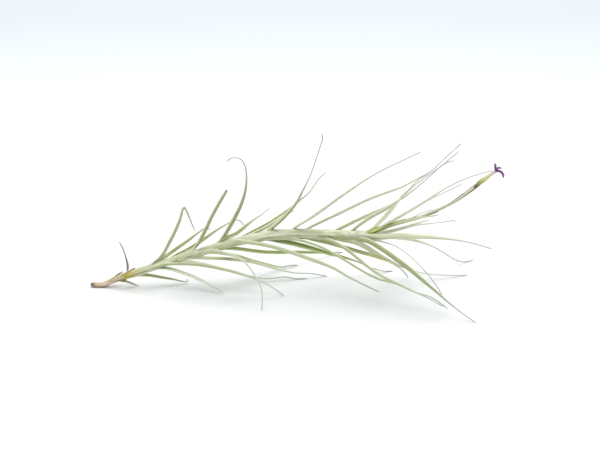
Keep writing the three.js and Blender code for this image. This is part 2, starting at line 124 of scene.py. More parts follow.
# A petal's section as (claw, limb). The claw is in the flower's tube, and between the shares of its length in
# PETAL_WIDENS the petal becomes the limb, which faces the viewer and has a round end.
PETAL_WIDTH = (0.6, 1.3)
PETAL_THICKNESS = (0.3, 0.18)
PETAL_CHANNEL = (0.6, 1.6)
PETAL_WIDENS = (0.3, 0.55)
PETAL_TWIST = 2.5
PETAL_END = 0.14
PETAL_BLUNTNESS = 0.03
PETAL_LEAST_THICKNESS = 0.5
CLAW_X = (174.5, 176.5)
CLAW_TURN = 0.3
TUBE_MOUTH = 176

# Each live leaf: its sheath starts at root along the stem, and path is its midrib as (x, rise) from where it
# leaves the stem to its tip. back is how far behind the foot the tip lies, and None rests it on the surface.
# tone goes from -1, dark olive, to 1, pale grey. thread is the share of the length where the blade is half a
# thread, twist is how far the channel turns to the front, and spot is the x of a golden patch.
NO_SPOT = -100
Leaf = namedtuple("Leaf", "root back width tone thread twist path spot", defaults=[NO_SPOT])
LEAVES = [
    Leaf(13, 3, 1.7, -0.7, 0.7, 0.5, [(21, 5.2), (25, 5.1), (30, 4.3), (36, 3.3), (40, 2.4), (41.8, 2.2),
     (42.4, 2.9), (41.9, 3.5)]),
    Leaf(18, -6, 2.4, 1, 0.85, 0.5, [(30, 8), (35, 7.6), (40, 6), (45, 4.2), (50, 2), (54, -0.2),
     (58, -2.4)]),
    Leaf(19, 8, 2, 0.2, 0.72, 1.4, [(31, 14), (34, 19.2), (37, 25), (39, 29.8), (40.2, 34), (40.7, 35.2),
     (41.4, 34.6), (43.2, 30.5), (45.6, 24.6)]),
    Leaf(21, 14, 2, 0, 0.8, 0.6, [(31, 12.3), (36, 16), (42, 20.2), (46, 23.2), (50, 25.8), (52.5, 25.3)]),
    Leaf(22, None, 3.2, -0.3, 0.68, 0, [(32, 9.4), (38, 9.8), (45, 9.6), (52, 8.7), (60, 7), (67, 5.2),
     (73, 3.2), (78, 0.9), (82, -1.8), (85, -4)]),
    Leaf(25, None, 1.7, 0.9, 0.55, 0, [(34, 10.3), (41, 11.4), (48, 10.3), (55, 8.6), (62, 6.9), (70, 4.6),
     (75, 3.7), (80, 3.8), (85, 4.3), (90, 3.6), (95, 3.5)]),
    Leaf(27, 16, 2.1, 0.1, 0.62, 0.5, [(38, 14.3), (44, 17.5), (50, 21.5), (55, 25), (60, 28), (63, 29.5),
     (65.3, 29.2), (67, 27.2), (68.2, 25)]),
    Leaf(30, None, 1.8, 0.3, 0.62, 0, [(42, 12.8), (50, 12.7), (58, 12.4), (65, 11.7), (70, 11), (75, 9.7),
     (80, 8.3), (85, 7), (90, 6.1), (97, 5.8), (104, 4.6)]),
    Leaf(35, -14, 2.5, -0.3, 1.1, 1.4, [(45.5, 17.8), (48, 21.3), (50.3, 25.5), (53, 31), (56, 36.4),
     (60, 42.8)]),
    Leaf(38, None, 1.9, 0.15, 0.82, 0, [(52, 15.2), (59, 14.6), (65, 13.3), (70, 11.7), (75, 10.4),
     (80, 9.2), (84, 8.6), (87, 9.3), (91, 9.4)]),
    Leaf(41, None, 1.8, 0.4, 0.68, 0, [(53, 16), (59, 15), (64, 13.2), (67.5, 11), (70, 8.2), (72.6, 4.4),
     (74.6, 0.4), (75.4, -4), (75.1, -10.4)]),
    Leaf(43, -9, 2.6, -0.1, 0.64, 1.2, [(55.5, 19.5), (58.5, 23), (61, 27), (63.5, 31.5), (66, 36.5),
     (67.8, 42), (68.5, 47.5), (68.1, 52.5), (66.5, 55.7), (64, 56.8), (61.5, 56.3), (59.8, 54.8)]),
    Leaf(45, None, 2, -0.8, 0.85, 0, [(57, 17), (64, 16.8), (70, 16), (76, 15.3), (83, 15.1), (92, 15.2),
     (102, 15), (111, 15.2)]),
    Leaf(47, 20, 2.5, -0.1, 0.66, 0.8, [(60, 21.8), (64, 23.8), (68, 27), (72, 30), (76, 32.7), (79, 35.3)]),
    Leaf(48, -16, 2.6, 0, 0.8, 0, [(64, 19.6), (70, 19.3), (76, 18.3), (81, 17.2), (86, 15.7), (92, 13.6),
     (100, 10.8), (107, 8), (113, 4.5), (120, 1), (127, -2.3)]),
    Leaf(54, 18, 2.5, 0.2, 0.62, 0.6, [(66, 21.8), (72, 24.8), (78, 28), (84, 32), (88, 35), (92, 38.3),
     (96, 41.7), (100, 47.3), (103.5, 50.7)]),
    Leaf(58, 6, 1.6, 0.4, 0.95, 0.5, [(72, 23.8), (78, 26.9), (83, 30.2), (87, 32.8), (89.3, 33.5)]),
    Leaf(61, -12, 3.6, -0.1, 0.5, 0.6, [(76, 24.3), (80, 27.2), (85, 31.5), (90, 37), (93, 42.3), (96, 48),
     (98.3, 54), (100.3, 60), (101.6, 64), (101.9, 65.4), (101.3, 67.2)]),
    Leaf(64, None, 3.3, -1, 0.62, 0, [(83, 20), (87.5, 19.1), (92, 18), (98, 16.4), (104, 14.7), (110, 13.3),
     (116, 11.5), (121, 9.5), (125, 7.9), (129, 6.9), (133, 6.9)]),
    Leaf(70, -18, 2.5, 0.85, 0.66, 0.8, [(87.5, 25.2), (91, 27.4), (97, 31), (102, 34.5), (108, 38.8),
     (115, 43.5), (122, 48), (130, 52.3), (138, 56), (145, 59.3)]),
    Leaf(73, -24, 2.1, -0.2, 0.8, 0, [(90, 20.8), (96, 19.3), (102, 17.1), (107, 14.4), (112, 11.5),
     (117, 8.4), (122, 5.5), (127, 3.3), (134, 1.5), (141, -1.6), (150, -4.7), (157, -9.5)]),
    Leaf(77, 22, 1.9, 0.9, 0.66, 0.8, [(93.5, 25.2), (98, 27.4), (104, 30.2), (110, 33), (116, 35.9),
     (122, 38.7), (130, 41.7), (137, 44.2), (143, 47.4), (150, 51.3), (155, 56), (160, 60.6),
     (163.5, 63.5)]),
    Leaf(82, 1, 2.3, -0.25, 0.85, 0.5, [(98, 20.8), (105, 19.2), (112, 17.2), (119, 15.1), (126, 13.2),
     (132, 11), (138, 8.3)], spot=128.2),
    Leaf(86, -29, 2.6, -0.15, 0.8, 0, [(103, 20.8), (108, 19), (113, 15.8), (118, 11.8), (123, 7.8),
     (129, 4), (135, 1.3), (142, -2), (149, -5.2), (155, -8.6)]),
    Leaf(89, 12, 2, 0.5, 0.76, 0.8, [(106, 24.4), (110.5, 26.4), (116, 29.1), (122, 31.9), (128, 34.4),
     (133, 37), (137, 40), (141, 43.6), (145, 47), (148.5, 49.8)]),
    Leaf(93, 6.5, 1.7, 0.2, 0.85, 0, [(110, 20.6), (116, 19.3), (120, 17.5), (124, 15.1), (128, 12.8),
     (132, 10.8), (136, 8.3), (138.6, 5.8), (139.8, 3.8)]),
    Leaf(95, -9, 2.3, 0.55, 0.6, 1.2, [(113, 24.2), (117.5, 27.3), (123, 31), (129, 34.2), (135, 38),
     (140, 41.4), (145, 45.4), (150, 49.7), (154, 53.2), (157, 54.8), (159.5, 55.5)]),
    Leaf(100, 8, 1.5, 0.9, 0.62, 0.8, [(119, 22.8), (123, 25.4), (126.5, 28.4), (130, 32.4), (134, 37),
     (138, 41.4), (143, 45.3), (148, 49), (153, 52.6), (157, 55.7), (162, 59.8)]),
    Leaf(102, None, 3.6, -0.5, 0.72, 0, [(117, 20.8), (122, 19.6), (127, 16.7), (133, 12.6), (139, 8.2),
     (145, 3.3), (151, -1.6), (157, -6.6), (163, -11.3), (169, -15.5)]),
    Leaf(104, -14, 1.2, 0.8, 0.62, 0.8, [(119, 24), (124, 26), (128, 29), (132, 33.3), (136, 38.7),
     (140, 43.3), (144, 47.3), (147, 49.2)]),
    Leaf(106, None, 1.5, 0.4, 0.52, 0, [(118, 19.8), (122, 17.6), (126, 14.9), (130, 12.5), (134, 10.4),
     (138, 8.5), (142, 7.1), (148, 5.7), (156, 5.1), (166, 5)]),
    Leaf(108, -20, 2.4, 1, 0.66, 0.8, [(122, 24.6), (126, 26), (131, 28.8), (137, 32.1), (143, 35.6),
     (150, 40), (157, 44.2), (164, 47.4), (171, 49.8), (175.5, 50.8), (178, 50.5)]),
    Leaf(110, -20, 1.6, 1, 0.3, 0, [(124, 20.8), (129, 19.7), (134, 18), (138, 15.5), (142, 12), (146, 8),
     (150, 3.3), (153, -1), (155, -5)]),
    Leaf(111, 18, 1.5, 1, 0.62, 0.6, [(124, 24.8), (130, 27.8), (136, 31), (143, 35), (150, 39), (157, 42.3),
     (163.5, 45.4)]),
    Leaf(112, -26, 3, 0.15, 0.62, 0, [(124, 22.2), (130, 22.1), (136, 22.6), (143, 22.2), (151, 21.8),
     (160, 20.8), (168, 19.2), (176, 16.8)]),
    Leaf(113, None, 2.2, 0.6, 0.45, 0, [(125, 21.6), (131, 22), (137, 21.5), (143, 20.4), (149, 18.5),
     (154, 16), (158, 13.5), (161, 11.8), (165, 11), (169, 11.7)]),
    Leaf(114, 28, 1.3, 0.55, 0.6, 0, [(125, 23.2), (131, 24.2), (137, 25.7), (143, 27.2), (150, 28),
     (156, 28.7), (160.5, 29.2), (161.3, 28.5)]),
    Leaf(115, 18, 1.2, 0.4, 0.9, 0, [(125, 23.8), (131, 24.8), (137, 26.3), (143, 28), (149, 29.4)]),
    Leaf(116, 9, 1.2, -0.1, 0.62, 0, [(125, 25), (130, 26.8), (135, 28), (140, 30), (145, 32.3),
     (150.5, 34.2)]),
    Leaf(117, -16, 1.4, -0.3, 0.85, 0, [(126, 24.8), (132, 26.8), (138, 28.6), (144, 30.4), (149, 31.1),
     (153, 31.8)]),
]

# Withered leaves that are still on the old stem
WITHERED = [
    Leaf(9, None, 1.4, 0.6, 0.75, 0, [(13.2, 2.6), (15, 2.4), (17, 1.8), (19, 1), (20.7, 0.2)]),
    Leaf(8, 0.5, 1.0, -0.2, 1.1, 0, [(10.4, 4.6), (12, 5.7), (13.8, 6.7)]),
    Leaf(14.4, 2.5, 1.5, -0.6, 0.42, 0.8, [(15.6, 6.7), (15.9, 8.8), (15.4, 11.8), (14.6, 14.8),
     (13.7, 17.3), (12.1, 20.1)]),
]

# A leaf's sheath rises out of the stem by SHEATH_RISE, as (share of the way, share of the reach). The reach
# and CLASP_MOST are in radii of the stem. Pairs are for leaves on the (far side, near side), and NEAR_SIDE is
# how far those point to the viewer.
SHEATH_RISE = ((0, 0.5), (0.3, 0.85), (0.6, 1))
SHEATH_REACH = (0.75, 1.06)
SHEATH_WRAP = (1.2, 1.9)
SHEATH_THICKNESS = 0.34
NEAR_SIDE = (-0.3, 0.5)
CLASP_LEAST = 0.8
CLASP_MOST = 1.2

# In lengths of the sheath: where the blade comes free of the stem, and where the sheath's colour fades
FREE_FROM = 0.1
FREE_AT = (0.85, 1.2)
FADES_RISING = (0.5, 1.8)
FADES_HANGING = (0.5, 1.35)

# The blade narrows from base to end, and so does its thread. BLADE_THICKNESS is of the (blade, thread). The
# last TIP_LENGTH runs to a point, and the channel turns between the shares of the length in TURNS.
BLADE_NARROWS = (1.15, 0.85)
THREAD_WIDTH = (1.0, 0.55)
THREAD_SHARE = 0.4
THREAD_SPREAD = 0.25
BLADE_THICKNESS = (0.8, 0.45)
CHANNEL_RADIUS = 1.2
TIP_LENGTH = 2
TIP_BLUNTNESS = 0.1
TURNS = (0.1, 0.4)

# A leaf leaves the stem on the side that its tip lies on, up to SIDE_STEP from the middle, and one that rises
# leaves it behind. A tip that rests on the surface is TIP_REST above it.
SIDE_STEP = 1.8
SIDE_REACH = 8
TIP_REST = 0.1

# A golden patch swells its leaf, and the leaf is a little yellow farther on
SPOT_REACH = 3.6
SPOT_SWELL = 0.8
YELLOWING = 0.4
YELLOW_REACH = 12

# What a strip holds at each place. The first three are in millimetres.
SECTION = ("width", "thickness", "channel", "sheath", "tone", "dry", "thin")

# A section with so wide a channel isn't bent, so a round stem stays round
FLAT_CHANNEL = 400.0

# The grain is a place in millimetres that noise follows. Strips are GRAIN_STEP apart in it, and their faces
# are GRAIN_DEPTH to either side.
GRAIN_STEP = 7.31
GRAIN_DEPTH = 0.4
KNOB_DETAIL = 3.0

# A silvery scale is a flat cone with few sides, and its size varies
SCALE_SIDES = 4
SCALE_SHAPE = (0.3, 1.0, 1.0)
SCALE_SIZES = (0.6, 1.3)


def seen(x, rise, y):
    """A place that shows at x and rise from the front and lies y behind the foot"""
    return np.array((x - FOOT_REST, y, (rise - y * math.sin(LOOK_DOWN)) / math.cos(LOOK_DOWN)))


def resting_back(rise):
    """How far behind the foot a tip lies that rests on the surface and shows at this rise"""
    return (rise - TIP_REST * math.cos(LOOK_DOWN)) / math.sin(LOOK_DOWN)


def unit(vector):
    return vector / np.linalg.norm(vector)


def lerp(low, high, share):
    return low + (high - low) * share


def smooth(low, high, value):
    """0 up to low, 1 from high on, and a soft step between them"""
    share = np.clip((value - low) / (high - low), 0, 1)
    return share * share * (3 - 2 * share)


def curve_through(points, per_span=8):
    """A centripetal Catmull-Rom curve through points, as rows of close places"""
    points = np.array(points, float)
    ends = [2 * points[0] - points[1], *points, 2 * points[-1] - points[-2]]
    rows = []
    for i in range(len(points) - 1):
        p0, p1, p2, p3 = ends[i:i + 4]
        t1 = math.sqrt(np.linalg.norm(p1 - p0))
        t2 = t1 + math.sqrt(np.linalg.norm(p2 - p1))
        t3 = t2 + math.sqrt(np.linalg.norm(p3 - p2))
        for t in np.linspace(t1, t2, per_span, endpoint=False):
            a1 = lerp(p0, p1, t / t1)
            a2 = lerp(p1, p2, (t - t1) / (t2 - t1))
            a3 = lerp(p2, p3, (t - t2) / (t3 - t2))
            b1 = lerp(a1, a2, t / t2)
            b2 = lerp(a2, a3, (t - t1) / (t3 - t1))
            rows.append(lerp(b1, b2, (t - t1) / (t2 - t1)))
    return np.array([*rows, points[-1]])


class Line:
    """A table's curve that is looked up by x along the surface"""

    def __init__(self, table):
        self.places = curve_through([seen(*row[:3]) for row in table])
        self.x = self.places[:, 0] + FOOT_REST
        self.slopes = np.gradient(self.places, axis=0)
        if len(table[0]) > 3:
            self.radii = np.interp(self.x, [row[0] for row in table], [row[3] for row in table])

    def at(self, x):
        return np.array([np.interp(x, self.x, self.places[:, i]) for i in range(3)])

    def along(self, x):
        return unit(np.array([np.interp(x, self.x, self.slopes[:, i]) for i in range(3)]))

    def radius(self, x):
        return float(np.interp(x, self.x, self.radii))


stem = Line(STEM)
stalk = Line(STALK)


def bark_radius(x):
    return lerp(*BARK_SHARE, smooth(*BARK_THINS, x)) * stem.radius(x)


def core_radius(x):
    return lerp(*CORE_SHARE, smooth(*CORE_GROWS, x)) * stem.radius(x)


def length_along(places):
    steps = np.linalg.norm(np.diff(places, axis=0), axis=1)
    return np.concatenate(([0], np.cumsum(steps)))


def openings(places, start):
    """Where a channel opens to at each place: start, carried along the path without twist"""
    rows = []
    opening = start
    for slope in np.gradient(places, axis=0):
        along = unit(slope)
        opening = unit(opening - along * np.dot(opening, along))
        rows.append(opening)
    return np.array(rows)


def facing(places, opening, twist):
    """The openings, each turned to the viewer by its own share of twist"""
    along = np.array([unit(slope) for slope in np.gradient(places, axis=0)])
    near = -VIEW - along * (along @ -VIEW)[:, None]
    turned = opening + near * np.broadcast_to(twist, len(places))[:, None]
    return turned / np.linalg.norm(turned, axis=1)[:, None]


def side_of(along, turn):
    """The direction square to along on the side that turn gives"""
    up = unit(np.cross(along, VIEW))
    near = unit(np.cross(up, along))
    return up * math.cos(turn) + near * math.sin(turn)


def new_strip(places, opening, **section):
    """A midrib with its section at each place. What isn't given is 0."""
    none = np.zeros(len(places))
    return {"places": places, "opening": opening, **{key: none + section.get(key, 0) for key in SECTION}}


def rises(leaf):
    x, rise = leaf.path[1]
    return rise > np.interp(x, STEM_X, STEM_RISE)


def blade_places(leaf):
    """The blade's midrib, from where it leaves the stem to its tip"""
    back = resting_back(leaf.path[-1][1]) if leaf.back is None else leaf.back
    stem_y = stem.at(leaf.path[0][0])[1]
    side = 1 if rises(leaf) else np.clip((back - stem_y) / SIDE_REACH, -1, 1)
    y_start = stem_y + SIDE_STEP * side
    run = length_along(np.array(leaf.path, float))
    return [seen(x, rise, lerp(y_start, back, far / run[-1])) for (x, rise), far in zip(leaf.path, run)]


def way_out(leaf, blade):
    """The direction, square to the stem, in which a leaf leaves it"""
    along = stem.along(leaf.root)
    outward = blade[1] - stem.at(leaf.path[1][0])
    return unit(outward - along * np.dot(outward, along))


def sheath_places(leaf, outward, near):
    """The sheath's midrib, which ends short of the blade's"""
    rows = []
    for share, reach in SHEATH_RISE:
        x = lerp(leaf.root, leaf.path[0][0], share)
        rows.append(stem.at(x) + outward * (reach * lerp(*SHEATH_REACH, near)) * stem.radius(x))
    return rows


def clasp_radius(places):
    """The radius that bends a leaf round the stem at each place"""
    xs = places[:, 0] + FOOT_REST
    axis_gap = np.array([np.linalg.norm(place - stem.at(x)) for place, x in zip(places, xs)])
    return np.clip(axis_gap, CLASP_LEAST, CLASP_MOST * np.array([stem.radius(x) for x in xs]))


def blade_width(leaf, share, thread):
    """The width of a blade along its length, by how far it is a thread"""
    thread_width = np.minimum(lerp(*THREAD_WIDTH, share), THREAD_SHARE * leaf.width)
    return lerp(leaf.width * lerp(*BLADE_NARROWS, share), thread_width, thread)


def leaf_strip(leaf):
    """A leaf clasps the stem as a sheath and then leaves it as a blade"""
    blade = blade_places(leaf)
    outward = way_out(leaf, blade)
    near = smooth(*NEAR_SIDE, -VIEW @ outward)
    sheath = sheath_places(leaf, outward, near)
    places = curve_through([*sheath, *blade])
    far = length_along(places)
    share = far / far[-1]
    in_sheaths = far / np.linalg.norm(blade[0] - sheath[0])
    free = smooth(FREE_FROM, lerp(*FREE_AT, near), in_sheaths)
    clasp = clasp_radius(places)
    thread = smooth(leaf.thread - THREAD_SPREAD, leaf.thread + THREAD_SPREAD, share)
    width = lerp(2 * lerp(*SHEATH_WRAP, near) * clasp, blade_width(leaf, share, thread), free)
    thickness = lerp(SHEATH_THICKNESS, lerp(*BLADE_THICKNESS, thread), free)
    point = np.sqrt(np.clip((1 - share) * far[-1] / TIP_LENGTH, TIP_BLUNTNESS, 1))
    from_spot = places[:, 0] + FOOT_REST - leaf.spot
    spot = np.exp(-(from_spot / SPOT_REACH) ** 2)
    yellowing = YELLOWING * np.exp(-(from_spot / YELLOW_REACH) ** 2)
    opening = facing(places, openings(places, -outward), leaf.twist * smooth(*TURNS, share))
    fades = FADES_RISING if rises(leaf) else FADES_HANGING
    return new_strip(places, opening, width=width * point * (1 + SPOT_SWELL * spot),
                     thickness=thickness * point, channel=lerp(clasp, CHANNEL_RADIUS, free),
                     sheath=1 - smooth(*fades, in_sheaths), tone=leaf.tone,
                     dry=np.maximum(spot, yellowing), thin=thread)


def round_strip(line, ends, radius, steps, flatness=1, sheath=0):
    """A round stem along a line between two x, with radius(x) in millimetres"""
    xs = np.linspace(*ends, steps)
    places = np.array([line.at(x) for x in xs])
    widths = np.array([2 * radius(x) for x in xs])
    return new_strip(places, openings(places, UP), width=widths, thickness=widths * flatness,
                     channel=FLAT_CHANNEL, sheath=sheath)


def clasping_strip(line, piece, thickness):
    """A husk, bract or sepal round a stem, thinner towards its free tip"""
    share = np.linspace(0, 1, CLASP_STEPS)
    xs = lerp(piece.start, piece.end, share)
    gap = np.interp(share, np.linspace(0, 1, len(piece.gaps)), piece.gaps)
    wrap = np.interp(share, np.linspace(0, 1, len(piece.wraps)), piece.wraps)
    outward = np.array([side_of(line.along(x), piece.turn) for x in xs])
    places = np.array([line.at(x) for x in xs]) + outward * gap[:, None]
    browned = smooth(1 - piece.dry, BROWNEST, share) if piece.dry else 0
    return new_strip(places, -outward, width=2 * gap * wrap, channel=gap, sheath=1 - share, dry=browned,
                     thickness=thickness * lerp(1, TIP_THINNESS, share), tone=piece.tone)


def petal_strip(limb):
    """A petal: a narrow claw in the flower's tube, then its limb, with its face to the front"""
    claw = [stalk.at(x) for x in CLAW_X]
    places = curve_through([*claw, *[seen(*place) for place in limb]])
    far = length_along(places)
    share = far / far[-1]
    widened = smooth(*PETAL_WIDENS, share)
    end = np.sqrt(np.clip((1 - share) / PETAL_END, PETAL_BLUNTNESS, 1))
    opening = openings(places, side_of(stalk.along(TUBE_MOUTH), CLAW_TURN))
    return new_strip(places, facing(places, opening, PETAL_TWIST * widened),
                     width=lerp(*PETAL_WIDTH, widened) * end,
                     thickness=lerp(*PETAL_THICKNESS, widened) * np.clip(end, PETAL_LEAST_THICKNESS, 1),
                     channel=lerp(*PETAL_CHANNEL, widened), sheath=1 - widened)


def new_object(name, data):
    thing = bpy.data.objects.new(name, data)
    bpy.context.scene.collection.objects.link(thing)
    return thing


def strip_object(name, strips):
    """The strips' midribs as one object of edges, with each strip's section kept as attributes"""
    mesh = bpy.data.meshes.new(name)
    places = np.concatenate([strip["places"] for strip in strips]) * MM
    edges = []
    start = 0
    for strip in strips:
        count = len(strip["places"])
        edges += [(start + i, start + i + 1) for i in range(count - 1)]
        start += count
        strip["far"] = length_along(strip["places"])
    mesh.from_pydata(places.tolist(), edges, [])
    for key in (*SECTION, "far"):
        scale = MM if key in SECTION[:3] else 1
        values = np.concatenate([strip[key] for strip in strips]) * scale
        mesh.attributes.new(key, "FLOAT", "POINT").data.foreach_set("value", values.astype(np.float32))
    opening = np.concatenate([strip["opening"] for strip in strips]).astype(np.float32)
    mesh.attributes.new("opening", "FLOAT_VECTOR", "POINT").data.foreach_set("vector", opening.ravel())
    return new_object(name, mesh)


class Graph:
    """A node tree that is built step by step, for geometry or for a material"""

    def __init__(self, tree):
        self.tree = tree

    def feed(self, socket, value):
        if isinstance(value, bpy.types.NodeSocket):
            self.tree.links.new(value, socket)
        else:
            socket.default_value = value

    def add(self, kind, inputs=None, **settings):
        made = self.tree.nodes.new(kind)
        for key, value in settings.items():
            setattr(made, key, value)
        for key, value in (inputs or {}).items():
            self.feed(made.inputs[key], value)
        return made

    def output(self, kind, inputs=None, **settings):
        """The first output of a new node"""
        return self.add(kind, inputs, **settings).outputs[0]

    def math(self, operation, *values):
        return self.output("ShaderNodeMath", dict(enumerate(values)), operation=operation)

    def plus(self, first, second):
        return self.math("ADD", first, second)

    def minus(self, first, second):
        return self.math("SUBTRACT", first, second)

    def times(self, first, second):
        return self.math("MULTIPLY", first, second)

    def vector(self, operation, *values):
        made = self.add("ShaderNodeVectorMath", operation=operation)
        for i, value in enumerate(values):
            self.feed(made.inputs["Scale" if operation == "SCALE" and i == 1 else i], value)
        return made.outputs["Value" if operation == "DOT_PRODUCT" else "Vector"]

    def parts(self, vector):
        """The X, Y and Z of a vector"""
        return self.add("ShaderNodeSeparateXYZ", {0: vector}).outputs

    def noise(self, place, scale, detail):
        return self.output("ShaderNodeTexNoise", {"Vector": place, "Scale": scale, "Detail": detail})

    def fit(self, value, low, high, to_low=0.0, to_high=1.0):
        """A value from low to high as one from to_low to to_high"""
        return self.output("ShaderNodeMapRange", {0: value, 1: low, 2: high, 3: to_low, 4: to_high})

    def held(self, name, data_type="FLOAT"):
        """What the geometry's points hold under a name"""
        return self.output("GeometryNodeInputNamedAttribute", {"Name": name}, data_type=data_type)

    def keep(self, geometry, name, value, data_type="FLOAT"):
        """The geometry, with a value kept on its points under a name"""
        inputs = {"Geometry": geometry, "Name": name, "Value": value}
        return self.output("GeometryNodeStoreNamedAttribute", inputs, data_type=data_type, domain="POINT")


def new_geometry_tree(name, **inputs):
    """A geometry tree with inputs and their first values, as (graph, its inputs)"""
    tree = bpy.data.node_groups.new(name, "GeometryNodeTree")
    new_socket = tree.interface.new_socket
    new_socket("Geometry", in_out="INPUT", socket_type="NodeSocketGeometry")
    for label, value in inputs.items():
        kind = "NodeSocketInt" if isinstance(value, int) else "NodeSocketFloat"
        new_socket(label, in_out="INPUT", socket_type=kind).default_value = value
    new_socket("material", in_out="INPUT", socket_type="NodeSocketMaterial")
    new_socket("Geometry", in_out="OUTPUT", socket_type="NodeSocketGeometry")
    graph = Graph(tree)
    return graph, graph.add("NodeGroupInput").outputs


def finished_tree(graph, given, geometry):
    """The tree, which gives the geometry in its material"""
    coated = graph.output("GeometryNodeSetMaterial", {"Geometry": geometry, "Material": given["material"]})
    graph.add("NodeGroupOutput", {"Geometry": coated})
    return graph.tree


def numbered_tubes(graph, given, paths):
    """A straight closed tube, 1 in radius and length, for each path, with the path's number"""
    counted = graph.add("GeometryNodeAttributeDomainSize", {0: paths}, component="CURVE")
    points = graph.output("GeometryNodePoints", {"Count": counted.outputs["Spline Count"]})
    numbered = graph.keep(points, "strip", graph.output("GeometryNodeInputIndex"), "INT")
    blank = graph.add("GeometryNodeMeshCylinder",
                      {"Vertices": given["sides"], "Side Segments": given["stations"],
                       "Radius": 1.0, "Depth": 1.0}, fill_type="NGON").outputs["Mesh"]
    copies = graph.output("GeometryNodeInstanceOnPoints", {"Points": numbered, "Instance": blank})
    return graph.output("GeometryNodeRealizeInstances", {0: copies})


def relief(graph, given, around, grain):
    """How far the surface stands out in long ridges and in knobs"""
    ridges = graph.math("COSINE", graph.times(around, given["ridge_count"]))
    ridges = graph.times(ridges, given["ridge_height"])
    knobs = graph.minus(graph.noise(grain, given["grain_scale"], KNOB_DETAIL), 0.5)
    return graph.plus(ridges, graph.times(knobs, given["roughness_height"]))


def sweep_tree():
    """Bends a closed tube along every path, to the sections that the path's points hold"""
    graph, given = new_geometry_tree("sweep section", sides=16, stations=64, ridge_count=0.0,
                                     ridge_height=0.0, roughness_height=0.0, grain_scale=400.0)
    paths = graph.add("GeometryNodeMeshToCurve", {"Mesh": given["Geometry"]}).outputs["Curve"]
    tubes = numbered_tubes(graph, given, paths)
    number = graph.held("strip", "INT")
    across, upward, height = graph.parts(graph.output("GeometryNodeInputPosition"))
    along = graph.plus(height, 0.5)

    def sampled(name, data_type="FLOAT"):
        """What the path holds beside a point of its tube"""
        return graph.add("GeometryNodeSampleCurve",
                         {"Curves": paths, "Factor": along, "Curve Index": number,
                          "Value": graph.held(name, data_type)}, mode="FACTOR", data_type=data_type).outputs

    face = graph.math("GREATER_THAN", upward, 0.0)
    for name, value in (("across", across), ("face", face), ("along", along)):
        tubes = graph.keep(tubes, name, value)
    for name in SECTION[3:]:
        tubes = graph.keep(tubes, name, sampled(name)["Value"])
    width, thickness, channel = [sampled(name)["Value"] for name in SECTION[:3]]
    grain = graph.output("ShaderNodeCombineXYZ", {
        "X": graph.times(graph.times(across, width), 0.5 / MM),
        "Y": sampled("far")["Value"],
        "Z": graph.plus(graph.times(number, GRAIN_STEP), graph.times(upward, GRAIN_DEPTH)),
    })
    tubes = graph.keep(tubes, "grain", grain, "FLOAT_VECTOR")

    opened = sampled("opening", "FLOAT_VECTOR")
    tangent = opened["Tangent"]
    tubes = graph.keep(tubes, "heading", tangent, "FLOAT_VECTOR")
    lean = graph.vector("SCALE", tangent, graph.vector("DOT_PRODUCT", opened["Value"], tangent))
    opening = graph.vector("NORMALIZE", graph.vector("SUBTRACT", opened["Value"], lean))
    sideways = graph.vector("CROSS_PRODUCT", opening, tangent)

    extra = relief(graph, given, graph.math("ARCTAN2", across, upward), grain)
    half_width = graph.plus(graph.times(width, 0.5), extra)
    half_thickness = graph.plus(graph.times(thickness, 0.5), extra)
    turn = graph.math("DIVIDE", graph.times(across, half_width), channel)
    reach = graph.minus(channel, graph.times(upward, half_thickness))
    beside = graph.vector("SCALE", sideways, graph.times(reach, graph.math("SINE", turn)))
    depth = graph.minus(channel, graph.times(reach, graph.math("COSINE", turn)))
    bent = graph.vector("ADD", beside, graph.vector("SCALE", opening, depth))
    spot = graph.vector("ADD", opened["Position"], bent)
    placed = graph.output("GeometryNodeSetPosition", {"Geometry": tubes, "Position": spot})
    soft = graph.output("GeometryNodeSetShadeSmooth", {"Geometry": placed})
    return finished_tree(graph, given, soft)


def scatter_tree():
    """Sets small pointed scales on a leaf, each leaning from the surface towards the leaf's tip"""
    graph, given = new_geometry_tree("scatter scales", density=2.0e6, length=0.00026, width=0.00007,
                                     lean=0.35, seed=7)
    spots = graph.add("GeometryNodeDistributePointsOnFaces",
                      {"Mesh": given["Geometry"], "Density": given["density"], "Seed": given["seed"]},
                      distribute_method="RANDOM").outputs
    leaning = graph.vector("ADD", graph.held("heading", "FLOAT_VECTOR"),
                           graph.vector("SCALE", spots["Normal"], given["lean"]))
    pointed = graph.output("FunctionNodeAlignRotationToVector", {"Vector": leaning}, axis="Z")
    flat = graph.output("FunctionNodeAlignRotationToVector", {"Rotation": pointed, "Vector": spots["Normal"]},
                        axis="X", pivot_axis="Z")
    scale = graph.add("GeometryNodeMeshCone",
                      {"Vertices": SCALE_SIDES, "Radius Top": 0.0, "Radius Bottom": given["width"],
                       "Depth": given["length"]}, fill_type="NGON").outputs["Mesh"]
    size = graph.add("FunctionNodeRandomValue", {2: SCALE_SIZES[0], 3: SCALE_SIZES[1], "Seed": given["seed"]},
                     data_type="FLOAT").outputs[1]
    copies = graph.output("GeometryNodeInstanceOnPoints",
                          {"Points": spots["Points"], "Instance": scale, "Rotation": flat,
                           "Scale": graph.vector("SCALE", SCALE_SHAPE, size)})
    return finished_tree(graph, given, graph.output("GeometryNodeRealizeInstances", {0: copies}))


def grown(name, source, tree, **values):
    """Runs a geometry tree on a source object and keeps what it makes as a plain piece"""
    modifier = source.modifiers.new("grow", "NODES")
    modifier.node_group = tree
    for item in tree.interface.items_tree:
        if item.in_out == "INPUT" and item.name in values:
            modifier[item.identifier] = values[item.name]
    bpy.context.view_layer.update()
    evaluated = source.evaluated_get(bpy.context.evaluated_depsgraph_get())
    mesh = bpy.data.meshes.new_from_object(evaluated)
    source.modifiers.remove(modifier)
    return new_object(name, mesh)


